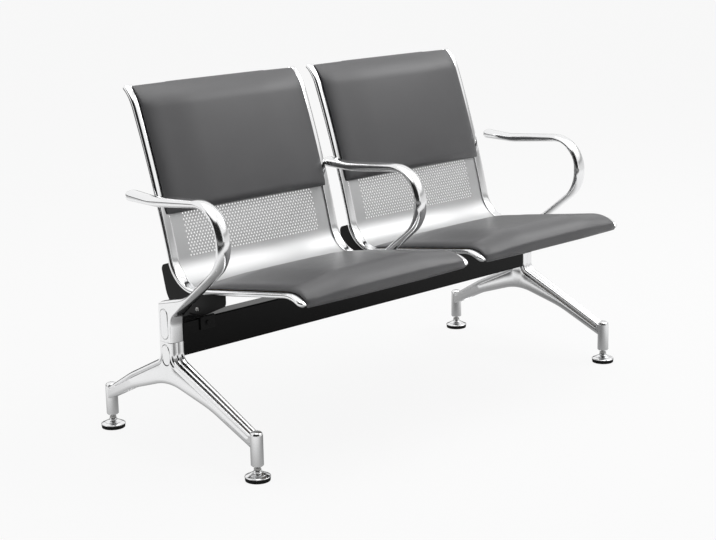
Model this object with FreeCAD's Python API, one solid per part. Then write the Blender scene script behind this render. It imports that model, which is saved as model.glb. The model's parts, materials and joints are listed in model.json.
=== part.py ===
import FreeCAD, Part
import math
import os

from FreeCAD import Vector

os.makedirs("parts", exist_ok=True)

# Two-seat beam bench. X runs along the beam, the seats face -Y, Z is up.
# The shapes are drawn with the beam's centre line above y = 0, and saved with the origin on the floor
# at the middle of the whole bench.
# All sizes are millimetres.

# Running fits and seams
seam = 0.05            # between two pieces that are screwed or clamped together
running = 0.05         # radial play of a turning or sliding piece
soft_gap = 0.3         # between a soft piece and its neighbours

# Beam
beam_depth = 40.0
beam_height = 74.0
beam_wall = 2.5
beam_corner = 4.0
beam_bottom = 210.0

# Plugs in the beam's ends
plug_flange = 16.0
plug_length = 36.0
plug_play = 0.1
plug_corner = 2.0
plug_screw_dia = 6.0
plug_screw_length = 8.0
hole_end = 1.5             # how far a blind hole runs past its screw

# Posts: the blocks in which a leg and an armrest meet at the beam's end
post_width = 35.0
post_depth = 42.0
post_seam_z = 244.0
post_top_z = 328.0
post_bolt_dia = 10.0
post_bolt_grip = 30.0
post_bolt_head_dia = 16.0
post_bolt_head = 10.0
post_bolt_pocket = 13.0
post_bolt_drive = 8.0
post_bolt_drive_depth = 5.0
bolt_play = 0.6            # on the diameter of a hole with a bolt straight through it
post_bolt_inset = 18.0     # from the seam between arm and leg, up and down
cap_width = 24.0
cap_depth = 3.0
cap_proud = 1.0
cap_upper_length = 66.0
cap_lower_length = 46.0
cap_seam_margin = 6.0

# Armrests
arm_front_y = -194.0
arm_rear_y = 124.0
arm_top_z = 561.0
arm_top_fall = 12.0        # how much lower the top is where the rear end flares up
arm_dip_y = 42.0
arm_front_thickness = 19.0
arm_bar_thickness = 20.0
arm_tip_thickness = 23.0
arm_front_radius = 85.0
arm_low_z = 432.0          # where the front's upright line meets the slanting foot of the arm
arm_slant_thickness = 13.0
arm_slant_run = 170.0
arm_slant_rise = 133.0
arm_edge = 4.5
arm_foot_radius = 30.0
arm_inner_top_radius = 57.0
arm_inner_low_radius = 73.0
arm_knee_y = -68.0         # where the slanting foot's upper side turns towards the post
arm_knee_radius = 110.0
arm_dip_radius = 160.0
arm_under_radius = 200.0
arm_under_run = 20.0       # how far ahead of the dip the underside turns
arm_dip_sag = 2.0
arm_tip_rise = 3.0
arm_post_round = 6.0

# Armrest foot on the beam between the two seats
saddle_length = 44.0
saddle_wall = 4.0
saddle_tab = 26.0
saddle_screw_dia = 6.0
saddle_screw_drop = 12.0   # below the beam's top
saddle_screw_head_dia = 10.5
saddle_screw_head = 3.2
saddle_screw_length = 12.0
screw_head_round = 1.2
screw_drive = 4.0
screw_drive_depth = 2.0

# Legs
foot_front_y = -266.0
foot_rear_y = 230.0
socket_dia = 27.0
socket_bottom = 31.0
socket_top = 104.0
socket_dome = 8.0
socket_chamfer = 2.0
leg_shoulder_z = 205.0
leg_arch_z = 157.0
leg_arch_radius = 150.0
leg_end_top_z = 94.0
leg_end_thickness = 27.0
leg_knee_y = 135.0
leg_knee_top_z = 154.0
leg_knee_thickness = 37.0
leg_knee_radius = 300.0
leg_shoulder_radius = 18.0
leg_edge = 4.0
leg_front_lift = 6.0       # the front arm's underside beside the arch, above the rear arm's
leg_rear_drop = 4.0        # the rear arm at its knee, below the front arm
leg_end_margin = 0.6       # how much narrower than its sockets the leg is where it meets them
leg_plan_run = 10.0        # past the post on each side, where the leg begins to narrow

# Adjustable feet
foot_dia = 54.0
rubber_dia = 52.0
rubber_height = 8.0
cup_edge_height = 2.0
cup_height = 18.0
cup_neck_dia = 18.0
cup_neck_height = 22.0
cup_slope_reach = 9.0      # the cup's flat rise from its edge, and the steeper one to its neck
cup_slope_rise = 3.0
cup_shoulder_reach = 5.0
cup_shoulder_drop = 3.0
cup_round = 1.4
rubber_round = 0.8
stem_dia = 10.0
stem_length = 76.0
stem_button_dia = 13.0
stem_button_height = 5.0
stem_button_z = 9.0
stem_end_chamfer = 1.0
stem_hex_across = 14.0
stem_hex_height = 3.6
stem_hex_z = 22.6
insert_dia = 15.0
insert_length = 30.0

# Seat shell: one plate bent from the front edge of the seat to the top of the back.
# The profile is measured on the face towards the sitter.
shell_width = 497.0
shell_gap = 36.0           # between the two shells
arm_gap = 37.5             # between a shell's outer edge and the outer armrest
plate_thickness = 1.5
plate_hem = 9.0
hem_margin = 3.0
seat_slope = 8.0
seat_length = 285.0
seat_rear_y = -15.0
seat_rear_z = 341.5
front_radius = 66.0
front_dip = 35.0
bend_radius = 75.0
back_low_recline = 14.0
back_top_recline = 21.0
back_length = 332.0
top_radius = 112.0
top_recline = 52.0
plate_end_inset = 6.0

# Bright strips on the shell's two edges
rim_lip = 25.0
rim_lip_thickness = 2.4
rim_depth = 9.0
rim_wall = 2.0
rim_return = 8.0
rim_edge = 1.6

# Upholstery pads and the boards inside them
pad_side_inset = 16.5
board_thickness = 6.0
board_inset = 12.0
seat_pad_thickness = 22.0
back_pad_thickness = 20.0
pad_nose = 12.0            # past the shell's front end, measured along the profile
pad_nose_drop = 9.0
pad_front_reach = 8.0      # how far the pad's front stands ahead of the shell's front end
seat_pad_length = 352.0
back_pad_start = 540.0
back_pad_overhang = 4.0
back_pad_proud = 3.0       # the back pad's highest point above the shell's top edge
seat_pad_edge = 2.0
back_pad_edge = 6.0
pad_screw_dia = 5.0
pad_screw_grip = 5.0
pad_screw_head_dia = 9.5
pad_screw_head = 2.4
pad_screw_inset = 60.0
seat_screw_rows = (70.0, 240.0)
pad_screw_end = 1.0        # the board's hole runs this far past the screw

# Black supports under the shells
support_web = 6.0
support_inset = 9.0
support_flange = 32.0
support_flange_thickness = 4.0
support_front_y = -100.0
support_front_depth = 30.0
support_top_along = 440.0
support_top_depth = 44.0
support_rear_y = 93.0
support_rear_z = 311.0
support_rear_radius = 60.0
support_round = 12.0
support_tab_margin = 4.0
support_saddle_length = 38.0
shell_bolt_dia = 6.0
shell_bolt_head_dia = 11.0
shell_bolt_head = 2.6
shell_bolt_grip = 12.0
shell_nut_dia = 11.0
shell_nut_height = 5.0
shell_bolt_places = (262.0, 318.0)
bolt_margin = 1.5          # between the bolts' heads and the bright strips

# Places worked out from the sizes above
leg_x = shell_gap / 2 + shell_width + arm_gap + post_width / 2
beam_half = leg_x - post_width / 2 - plug_flange
beam_top = beam_bottom + beam_height
shell_center = (shell_width + shell_gap) / 2


def save(shape, node):
    moved = shape.copy()
    moved.translate(Vector(0, -middle_y, 0))
    moved.exportStep("parts/" + node + ".step")


def solid(shape):
    """The single solid of a clean boolean result."""
    shape = shape.removeSplitter()
    if len(shape.Solids) == 1:
        return shape.Solids[0]
    return shape


def box(x0, x1, y0, y1, z0, z1):
    return Part.makeBox(x1 - x0, y1 - y0, z1 - z0, Vector(x0, y0, z0))


def rod(start, end, diameter):
    start = Vector(*start)
    axis = Vector(*end) - start
    return Part.makeCylinder(diameter / 2, axis.Length, start, axis)


def hexagon(x, y, z0, z1, across):
    radius = across / math.sqrt(3)
    turns = [math.radians(60 * i) for i in range(7)]
    corners = [Vector(x + radius * math.cos(turn), y + radius * math.sin(turn), z0) for turn in turns]
    return Part.Face(Part.makePolygon(corners)).extrude(Vector(0, 0, z1 - z0))


def mirrored(shape):
    return shape.mirror(Vector(0, 0, 0), Vector(1, 0, 0))


def rounded_corner(before, here, after, radius):
    """Where a corner's arc begins, its middle point and where it ends."""
    if radius == 0:
        return here, None, here
    arriving = (before - here).normalize()
    leaving = (after - here).normalize()
    angle = arriving.getAngle(leaving)
    reach = radius / math.tan(angle / 2)
    middle = (arriving + leaving).normalize()
    inside = here + middle * (radius / math.sin(angle / 2) - radius)
    return here + arriving * reach, inside, here + leaving * reach


def joined_edges(stops):
    """Arcs at the corners and lines between them, from the first corner to the last."""
    edges = []
    for i, (arrive, inside, leave) in enumerate(stops):
        if inside is not None:
            edges.append(Part.Arc(arrive, inside, leave).toShape())
        if i + 1 < len(stops) and (stops[i + 1][0] - leave).Length > 1e-6:
            edges.append(Part.LineSegment(leave, stops[i + 1][0]).toShape())
    return edges


def side_profile(corners, x0, x1):
    """A closed outline in the YZ plane, each corner given as y, z and radius, drawn out from x0 to x1."""
    count = len(corners)
    points = [Vector(x0, y, z) for y, z, _ in corners]
    stops = [rounded_corner(points[i - 1], points[i], points[(i + 1) % count], corners[i][2])
             for i in range(count)]
    edges = joined_edges(stops)
    edges.append(Part.LineSegment(stops[-1][2], stops[0][0]).toShape())
    return Part.Face(Part.Wire(edges)).extrude(Vector(x1 - x0, 0, 0))


def long_edges(shape, keep):
    """The edges whose middle point passes the test."""
    middles = [edge.valueAt((edge.FirstParameter + edge.LastParameter) / 2) for edge in shape.Edges]
    return [edge for edge, middle in zip(shape.Edges, middles) if keep(middle)]


# Shell profile

class Stretch:
    """A line or an arc of the profile, from heading a to heading b over a given length."""

    def __init__(self, start, length, a, b):
        self.start, self.length, self.a, self.b = start, length, a, b

    def heading(self, along):
        return self.a + (self.b - self.a) * along / self.length

    def point(self, along):
        if self.a == self.b:
            return (self.start[0] + along * math.cos(self.a), self.start[1] + along * math.sin(self.a))
        radius = self.length / (self.b - self.a)
        turn = self.heading(along)
        return (self.start[0] + radius * (math.sin(turn) - math.sin(self.a)),
                self.start[1] - radius * (math.cos(turn) - math.cos(self.a)))


def shell_profile():
    """Stretches from the seat's front edge to the top of the back, and the distance at which each begins."""
    slope = math.radians(-seat_slope)
    dip = math.radians(front_dip)
    low = math.radians(90 - back_low_recline)
    high = math.radians(90 - back_top_recline)
    end = math.radians(90 - top_recline)
    plan = [(front_radius * (dip - slope), dip, slope),
            (seat_length, slope, slope),
            (bend_radius * (low - slope), slope, low),
            (back_length, low, high),
            (top_radius * (high - end), high, end)]
    stretches, begins, start, total = [], [], (0.0, 0.0), 0.0
    for length, a, b in plan:
        stretch = Stretch(start, length, a, b)
        stretches.append(stretch)
        begins.append(total)
        start = stretch.point(length)
        total += length
    shift_y = seat_rear_y - stretches[2].start[0]
    shift_z = seat_rear_z - stretches[2].start[1]
    for stretch in stretches:
        stretch.start = (stretch.start[0] + shift_y, stretch.start[1] + shift_z)
    return stretches, begins, total


stretches, begins, profile_length = shell_profile()
front_y = stretches[0].start[0] - pad_front_reach
middle_y = (front_y + foot_rear_y + foot_dia / 2) / 2


def stretch_at(along):
    index = max(i for i in range(len(begins)) if i == 0 or along >= begins[i] - 1e-9)
    return stretches[index], along - begins[index]


def profile_point(along, rise, x=0.0):
    """A point of the profile, raised towards the sitter."""
    stretch, local = stretch_at(along)
    y, z = stretch.point(local)
    turn = stretch.heading(local)
    return Vector(x, y - rise * math.sin(turn), z + rise * math.cos(turn))


def profile_normal(along):
    stretch, local = stretch_at(along)
    turn = stretch.heading(local)
    return Vector(0, -math.sin(turn), math.cos(turn))


def profile_edges(first, last, rise, x):
    stops = [first] + [b for b in begins if first + 1e-6 < b < last - 1e-6] + [last]
    edges = []
    for a, b in zip(stops[:-1], stops[1:]):
        middle = (a + b) / 2
        start = profile_point(a, rise, x)
        end = profile_point(b, rise, x)
        stretch, _ = stretch_at(middle)
        if stretch.a == stretch.b:
            edges.append(Part.LineSegment(start, end).toShape())
        else:
            edges.append(Part.Arc(start, profile_point(middle, rise, x), end).toShape())
    return edges


def bent_strip(first, last, low, high, x0, x1):
    """A strip that follows the shell between two distances and two heights, from x0 to x1."""
    under = profile_edges(first, last, low, x0)
    over = profile_edges(first, last, high, x0)
    ends = [Part.LineSegment(profile_point(first, low, x0), profile_point(first, high, x0)).toShape(),
            Part.LineSegment(profile_point(last, low, x0), profile_point(last, high, x0)).toShape()]
    wire = Part.Wire(Part.__sortEdges__(under + over + ends))
    return Part.Face(wire).extrude(Vector(x1 - x0, 0, 0))


def peg(along, low, high, diameter, x):
    """A round pin square to the shell."""
    start = profile_point(along, low, x)
    return Part.makeCylinder(diameter / 2, high - low, start, profile_normal(along))


# Beam and its plugs

def tube_section(half_depth, bottom, top, corner, x0, x1):
    return side_profile([(-half_depth, bottom, corner), (half_depth, bottom, corner),
                         (half_depth, top, corner), (-half_depth, top, corner)], x0, x1)


def saddle_screw_lines():
    """Places along the beam where a saddle is screwed to its front and rear wall."""
    return [x for center in (-shell_center, shell_center) for x in support_centers(center)] + [0.0]


def support_centers(center):
    reach = shell_width / 2 - support_inset - support_flange / 2
    return (center - reach, center + reach)


saddle_screw_z = beam_top - saddle_screw_drop


def screw_axis(x, side, inner, outer, diameter):
    return rod((x, side * inner, saddle_screw_z), (x, side * outer, saddle_screw_z), diameter)


def make_beam():
    beam = tube_section(beam_depth / 2, beam_bottom, beam_top, beam_corner, -beam_half, beam_half)
    core = tube_section(beam_depth / 2 - beam_wall, beam_bottom + beam_wall, beam_top - beam_wall,
                        beam_corner - beam_wall, -beam_half - 1, beam_half + 1)
    beam = beam.cut(core)
    for x in saddle_screw_lines():
        beam = beam.cut(screw_axis(x, 1, -beam_depth, beam_depth, saddle_screw_dia + 2 * running))
    for side in (-1, 1):
        x = side * plug_screw_x
        beam = beam.cut(rod((x, 0, beam_bottom - 1), (x, 0, beam_bottom + beam_wall + 1),
                            plug_screw_dia + 2 * running))
    return solid(beam)


plug_screw_x = beam_half - plug_length / 2


def post_bolt_heights():
    return (post_seam_z - post_bolt_inset, post_seam_z + post_bolt_inset)


def make_plug():
    inner = beam_wall + plug_play
    flange = tube_section(beam_depth / 2, beam_bottom, beam_top, beam_corner,
                          -beam_half - plug_flange + seam, -beam_half)
    body = tube_section(beam_depth / 2 - inner, beam_bottom + inner, beam_top - inner, plug_corner,
                        -beam_half, -beam_half + plug_length)
    plug = flange.fuse(body)
    bolt_end = -beam_half + post_bolt_grip + hole_end
    for z in post_bolt_heights():
        plug = plug.cut(rod((-leg_x, 0, z), (bolt_end, 0, z), post_bolt_dia + 2 * running))
    hole_top = beam_bottom + plug_screw_length + hole_end
    plug = plug.cut(rod((-plug_screw_x, 0, beam_bottom), (-plug_screw_x, 0, hole_top),
                        plug_screw_dia + 2 * running))
    return solid(plug)


def make_plug_screw():
    x = -plug_screw_x
    top = beam_bottom - seam
    low = top - saddle_screw_head
    shank = rod((x, 0, top), (x, 0, beam_bottom + plug_screw_length), plug_screw_dia)
    head = rod((x, 0, low), (x, 0, top), saddle_screw_head_dia)
    head = head.makeFillet(screw_head_round, long_edges(head, lambda p: p.z < low + 0.01))
    drive = hexagon(x, 0, low - 1, low + screw_drive_depth, screw_drive)
    return solid(shank.fuse(head).cut(drive))


# Armrests

def arm_profile(x0, x1, bottom_z):
    """Side view of the armrest: post, slanting foot, upright front and top bar with a flared rear end."""
    slant = arm_slant_rise / arm_slant_run
    length = math.hypot(arm_slant_rise, arm_slant_run)
    front = arm_front_y
    inner = arm_front_y + arm_front_thickness
    outer_foot_z = arm_low_z - slant * (-post_depth / 2 - front)
    inner_low_z = arm_low_z + arm_slant_thickness * length / arm_slant_run - slant * arm_front_thickness
    dip_z = arm_top_z - arm_top_fall
    top_front_z = arm_top_z + arm_top_fall * 0.5
    under_front_z = top_front_z - arm_front_thickness
    knee_z = inner_low_z - slant * (arm_knee_y - inner)
    return side_profile([
        (-post_depth / 2, bottom_z, 0),
        (-post_depth / 2, outer_foot_z, arm_foot_radius),
        (front, arm_low_z, arm_front_radius),
        (front, top_front_z, arm_front_radius),
        (arm_dip_y, dip_z - arm_dip_sag, arm_dip_radius),
        (arm_rear_y, dip_z + arm_tip_rise, 0),
        (arm_rear_y, dip_z + arm_tip_rise - arm_tip_thickness, 0),
        (arm_dip_y - arm_under_run, dip_z - arm_bar_thickness, arm_under_radius),
        (inner, under_front_z, arm_inner_top_radius),
        (inner, inner_low_z, arm_inner_low_radius),
        (arm_knee_y, knee_z, arm_knee_radius),
        (post_depth / 2, post_top_z, arm_post_round),
        (post_depth / 2, bottom_z, 0)], x0, x1)


def make_arm(center, bottom_z):
    half = post_width / 2
    arm = arm_profile(center - half, center + half, bottom_z)
    tip_y, low, high = arm_rear_y - half, arm_low_z, arm_top_z
    tip = box(center - half - 1, center + half + 1, tip_y, arm_rear_y + 1, low, high)
    round_tip = rod((center, tip_y, low), (center, tip_y, high), post_width)
    arm = arm.cut(tip.cut(round_tip)).removeSplitter()
    edges = long_edges(arm, lambda p: p.z > bottom_z + 1 and not flat_edge(p, center, half))
    return arm.makeFillet(arm_edge, edges)


def flat_edge(point, center, half):
    """Edges that cross the armrest from side to side stay as drawn, save those of the rounded rear end."""
    return abs(point.x - center) < half - 0.5 and point.y < arm_rear_y - half


def obround(x0, x1, width, bottom, top):
    return side_profile([(-width / 2, bottom, width / 2 - 0.01), (width / 2, bottom, width / 2 - 0.01),
                         (width / 2, top, width / 2 - 0.01), (-width / 2, top, width / 2 - 0.01)], x0, x1)


def cap_spans():
    """Bottom and top of the obround covers on the post's outer face, below and above the seam."""
    return ((post_seam_z - cap_seam_margin - cap_lower_length, post_seam_z - cap_seam_margin),
            (post_seam_z + cap_seam_margin, post_seam_z + cap_seam_margin + cap_upper_length))


def post_cuts(casting):
    """Pockets for the covers and holes for the bolts that draw the castings against the plug."""
    outer = -leg_x - post_width / 2
    for bottom, top in cap_spans():
        casting = casting.cut(obround(outer - 1, outer + cap_depth, cap_width, bottom, top))
    for z in post_bolt_heights():
        casting = casting.cut(rod((outer, 0, z), (outer + post_bolt_pocket, 0, z),
                                  post_bolt_head_dia + bolt_play))
        casting = casting.cut(rod((outer, 0, z), (-leg_x + post_width, 0, z), post_bolt_dia + bolt_play))
    return casting


def make_caps():
    outer = -leg_x - post_width / 2
    caps = []
    for bottom, top in cap_spans():
        cap = obround(outer - cap_proud, outer + cap_depth - seam, cap_width - 2 * seam,
                      bottom + seam, top - seam)
        rim = long_edges(cap, lambda p: p.x < outer - cap_proud + 0.01)
        caps.append(cap.makeFillet(cap_proud * 0.8, rim))
    return caps


def make_post_bolts():
    outer = -leg_x - post_width / 2
    seat = outer + post_bolt_pocket
    bolts = []
    for z in post_bolt_heights():
        head = rod((seat - post_bolt_head, 0, z), (seat - seam, 0, z), post_bolt_head_dia)
        shank = rod((seat - seam, 0, z), (-beam_half + post_bolt_grip, 0, z), post_bolt_dia)
        drive = hexagon(0, 0, -1, post_bolt_drive_depth, post_bolt_drive)
        drive.rotate(Vector(0, 0, 0), Vector(0, 1, 0), 90)
        drive.translate(Vector(seat - post_bolt_head, 0, z))
        bolts.append(solid(head.fuse(shank).cut(drive)))
    return Part.makeCompound(bolts)


# Saddles on the beam

def saddle_shell(center, length):
    """A bent plate over the beam's top with a tab down its front and its rear."""
    half = beam_depth / 2 + seam
    wall = saddle_wall
    low = beam_top - saddle_tab
    outer = side_profile([(-half - wall, low, 0), (half + wall, low, 0),
                          (half + wall, beam_top + wall, wall), (-half - wall, beam_top + wall, wall)],
                         center - length / 2, center + length / 2)
    inner = side_profile([(-half, low - 1, 0), (half, low - 1, 0), (half, beam_top + seam, beam_corner),
                          (-half, beam_top + seam, beam_corner)], center - length, center + length)
    saddle = outer.cut(inner)
    return saddle.cut(screw_axis(center, 1, -beam_depth, beam_depth, saddle_screw_dia + 2 * running))


def saddle_screws(center):
    """One button-head screw on the front and one on the rear of the beam."""
    screws = []
    face = beam_depth / 2 + 2 * seam + saddle_wall
    for side in (-1, 1):
        shank = screw_axis(center, side, face - saddle_screw_length, face, saddle_screw_dia)
        head = screw_axis(center, side, face, face + saddle_screw_head, saddle_screw_head_dia)
        head = head.makeFillet(screw_head_round,
                               long_edges(head, lambda p: abs(p.y) > face + saddle_screw_head / 2
                                          and abs(p.z - saddle_screw_z) + abs(p.x - center) > 1))
        screws.append(solid(head.fuse(shank)))
    return screws


def make_center_arm():
    base = beam_top + saddle_wall
    arm = make_arm(0.0, base - 0.01)
    return solid(arm.fuse(saddle_shell(0.0, saddle_length)))


# Legs

def leg_profile(x0, x1):
    shoulder = post_depth / 2
    front, rear = foot_front_y, foot_rear_y
    knee_low = leg_knee_top_z - leg_knee_thickness
    end_low = leg_end_top_z - leg_end_thickness
    return side_profile([
        (-shoulder, post_seam_z - seam, 0),
        (-shoulder, leg_shoulder_z, leg_shoulder_radius),
        (-leg_knee_y, leg_knee_top_z, leg_knee_radius),
        (front, leg_end_top_z, 0),
        (front, end_low, 0),
        (-leg_knee_y, knee_low + leg_front_lift, leg_knee_radius),
        (0, leg_arch_z, leg_arch_radius),
        (leg_knee_y, knee_low - leg_rear_drop, leg_knee_radius),
        (rear, end_low, 0),
        (rear, leg_end_top_z, 0),
        (leg_knee_y, leg_knee_top_z - leg_rear_drop, leg_knee_radius),
        (shoulder, leg_shoulder_z, leg_shoulder_radius),
        (shoulder, post_seam_z - seam, 0)], x0, x1)


def leg_plan():
    """Plan view of the leg: as wide as the post at its middle, as wide as the sockets at its ends."""
    wide, narrow, level = post_width / 2, socket_dia / 2 - leg_end_margin, post_depth / 2 + leg_plan_run
    outline = [(-wide, -level), (-narrow, foot_front_y), (narrow, foot_front_y), (wide, -level),
               (wide, level), (narrow, foot_rear_y), (-narrow, foot_rear_y), (-wide, level), (-wide, -level)]
    face = Part.Face(Part.makePolygon([Vector(x, y, 0) for x, y in outline]))
    return face.extrude(Vector(0, 0, beam_top))


def make_leg():
    """The leg is shaped in the plane x = 0 and then set at the beam's left end."""
    half = post_width / 2
    leg = leg_profile(-half - 1, half + 1).common(leg_plan()).removeSplitter()
    sides = long_edges(leg, lambda p: abs(p.x) > socket_dia / 2 - leg_edge / 2
                       and foot_front_y + 1 < p.y < foot_rear_y - 1 and p.z < post_seam_z - 1
                       and abs(abs(p.y) - post_depth / 2 - leg_plan_run) > 0.5)
    leg = leg.makeFillet(leg_edge, sides)
    for y in (foot_front_y, foot_rear_y):
        socket = rod((0, y, socket_bottom), (0, y, socket_top), socket_dia)
        socket = socket.makeFillet(socket_dome, long_edges(socket, lambda p: p.z > socket_top - 0.01))
        socket = socket.makeChamfer(socket_chamfer, long_edges(socket, lambda p: p.z < socket_bottom + 0.01))
        leg = leg.fuse(socket)
    stem_room = stem_button_z + stem_length + foot_raise + hole_end
    for y in (foot_front_y, foot_rear_y):
        leg = leg.cut(rod((0, y, socket_bottom - 1), (0, y, socket_bottom + insert_length),
                          insert_dia + 2 * seam))
        leg = leg.cut(rod((0, y, socket_bottom), (0, y, stem_room), stem_dia + bolt_play))
    leg.translate(Vector(-leg_x, 0, 0))
    return solid(leg)


# Adjustable feet

foot_raise = socket_bottom - stem_hex_z - stem_hex_height - soft_gap


def revolved(outline, x, y):
    points = [Vector(x + r, y, z) for r, z in outline]
    face = Part.Face(Part.makePolygon(points + [points[0]]))
    return face.revolve(Vector(x, y, 0), Vector(0, 0, 1), 360)


def make_foot(x, y):
    """Rubber base, bright cup, threaded stem with its hexagon, and the insert in the leg's socket."""
    base = rod((x, y, 0), (x, y, rubber_height), rubber_dia)
    base = base.makeFillet(rubber_round, long_edges(base, lambda p: p.z < 0.01))
    button_hole = stem_button_dia / 2 + running
    button_top = stem_button_z + stem_button_height + running
    edge = rubber_height + cup_edge_height
    outer, neck = foot_dia / 2, cup_neck_dia / 2
    cup = revolved([(0, rubber_height), (outer, rubber_height), (outer, edge),
                    (outer - cup_slope_reach, edge + cup_slope_rise),
                    (neck + cup_shoulder_reach, cup_height - cup_shoulder_drop),
                    (neck, cup_height), (neck, cup_neck_height), (0, cup_neck_height)], x, y)
    shoulder = long_edges(cup, lambda p: edge - 0.1 < p.z < cup_height + 0.1)
    cup = cup.makeFillet(cup_round, shoulder)
    cup = cup.cut(rod((x, y, stem_button_z - running), (x, y, button_top), 2 * button_hole))
    cup = cup.cut(rod((x, y, button_top - 1), (x, y, cup_neck_height + 1), stem_dia + 2 * running))
    stem_top = stem_button_z + stem_length
    stem = rod((x, y, stem_button_z), (x, y, stem_top), stem_dia)
    stem = stem.makeChamfer(stem_end_chamfer, long_edges(stem, lambda p: p.z > stem_top - 0.01))
    button = rod((x, y, stem_button_z), (x, y, stem_button_z + stem_button_height), stem_button_dia)
    nut = hexagon(x, y, stem_hex_z, stem_hex_z + stem_hex_height, stem_hex_across)
    stem = stem.fuse([button, nut])
    insert = rod((x, y, socket_bottom + seam), (x, y, socket_bottom + insert_length - seam), insert_dia)
    insert = insert.cut(rod((x, y, socket_bottom - 1), (x, y, socket_top), stem_dia + 2 * running))
    return solid(base), solid(cup), solid(stem), solid(insert)


# Seat shells

def make_shell(center):
    half = shell_width / 2 - rim_wall - soft_gap
    first, last = plate_end_inset, profile_length - plate_end_inset
    plate = bent_strip(first, last, -plate_thickness, 0, center - half, center + half)
    x0, x1 = center - half + rim_return + hem_margin, center + half - rim_return - hem_margin
    front_hem = bent_strip(first, first + plate_thickness, -plate_hem, 0, x0, x1)
    top_hem = bent_strip(last - plate_thickness, last, -plate_hem, 0, x0, x1)
    plate = plate.fuse([front_hem, top_hem])
    for x in support_flange_lines(center):
        for along in shell_bolt_places:
            plate = plate.cut(peg(along, -plate_thickness - 1, 1, shell_bolt_dia + 2 * running, x))
    for x, along in pad_screw_places(center):
        plate = plate.cut(peg(along, -plate_thickness - 1, 1, pad_screw_dia + 2 * running, x))
    return solid(plate)


def make_rim(center, side):
    """The bright strip on one edge of a shell: a lip towards the sitter, a wall and a return behind."""
    edge = center + side * shell_width / 2

    def part(reach, low, high):
        ends = sorted((edge, edge - side * reach))
        return bent_strip(0, profile_length, low, high, *ends)

    crest = seam + rim_lip_thickness
    lip = part(rim_lip, seam, crest)
    wall = part(rim_wall, crest - rim_depth, crest)
    fold = part(rim_return, crest - rim_depth, crest - rim_depth + rim_wall)
    rim = lip.fuse([wall, fold]).removeSplitter()
    points = [profile_point(profile_length * f, crest, edge) for f in (0.02, 0.2, 0.45, 0.7, 0.97)]
    outer = [e for e in rim.Edges if any(e.distToShape(Part.Vertex(p))[0] < 0.01 for p in points)
             and abs(e.CenterOfMass.x - edge) < 0.01]
    rim = rim.makeFillet(rim_edge, outer)
    middle_x = edge - side * rim_lip / 2
    tip_y = profile_point(0, crest).y
    tongue_y = tip_y + rim_lip / 2
    tongue = box(middle_x - rim_lip, middle_x + rim_lip, tip_y - rim_lip, tongue_y, 0, arm_top_z)
    round_end = rod((middle_x, tongue_y, 0), (middle_x, tongue_y, arm_top_z), rim_lip)
    return solid(rim.cut(tongue.cut(round_end)))


def support_flange_lines(center):
    """Lines of the bolts that hold the plate to its supports, just inside the bright strips."""
    reach = shell_width / 2 - rim_lip - shell_bolt_head_dia / 2 - bolt_margin
    return (center - reach, center + reach)


def pad_screw_places(center):
    """Screws through the plate into the boards, near the corners of each pad."""
    reach = shell_width / 2 - rim_lip - pad_screw_inset
    back_rows = (back_pad_start + pad_screw_inset, begins[4] - pad_screw_head_dia)
    return [(center + side * reach, along) for side in (-1, 1) for along in seat_screw_rows + back_rows]


# Upholstery

pad_floor = seam + board_thickness + seam


def make_boards(center):
    half = shell_width / 2 - rim_lip - soft_gap
    spans = ((plate_end_inset + board_inset, seat_pad_length - board_inset),
             (back_pad_start + board_inset, profile_length - board_inset))
    boards = []
    for first, last in spans:
        board = bent_strip(first, last, seam, seam + board_thickness, center - half, center + half)
        for x in support_flange_lines(center):
            for along in shell_bolt_places:
                if first < along < last:
                    board = board.cut(peg(along, 0, pad_floor, shell_bolt_head_dia + bolt_play, x))
        for x, along in pad_screw_places(center):
            if first < along < last:
                board = board.cut(peg(along, 0, pad_screw_grip, pad_screw_dia + 2 * running, x))
        boards.append(solid(board))
    return boards


def make_pads(center):
    half = shell_width / 2 - pad_side_inset
    x0, x1 = center - half, center + half
    seat_top = pad_floor + seat_pad_thickness
    seat = bent_strip(-pad_nose, seat_pad_length, pad_floor, seat_top, x0, x1)
    nose = bent_strip(-pad_nose, -soft_gap, -pad_nose_drop, seat_top, x0, x1)
    ahead = box(x0 - 1, x1 + 1, front_y - arm_top_z, front_y, 0, arm_top_z)
    seat = seat.fuse(nose).cut(ahead).removeSplitter()
    back_end = profile_length + back_pad_overhang
    back = bent_strip(back_pad_start, back_end, pad_floor, pad_floor + back_pad_thickness, x0, x1)
    ceiling = profile_point(profile_length, 0).z + back_pad_proud
    above = box(x0 - 1, x1 + 1, 0, arm_top_z, ceiling, ceiling + arm_top_z)
    back = back.cut(above).removeSplitter()
    pads = []
    for pad, first, last, radius in ((seat, 0, seat_pad_length, seat_pad_edge),
                                     (back, back_pad_start, back_end, back_pad_edge)):
        floor = bent_strip(first, last, pad_floor - seam, pad_floor, x0, x1)
        edges = long_edges(pad, lambda p: Part.Vertex(p).distToShape(floor)[0] > 1.0)
        pads.append(solid(pad.makeFillet(radius, edges)))
    return pads


def make_pad_screws(center):
    screws = []
    for x, along in pad_screw_places(center):
        back = -plate_thickness - seam
        shank = peg(along, back, pad_screw_grip - pad_screw_end, pad_screw_dia, x)
        head = peg(along, back - pad_screw_head, back, pad_screw_head_dia, x)
        screws.append(solid(shank.fuse(head)))
    return Part.makeCompound(screws)


# Supports

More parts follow.
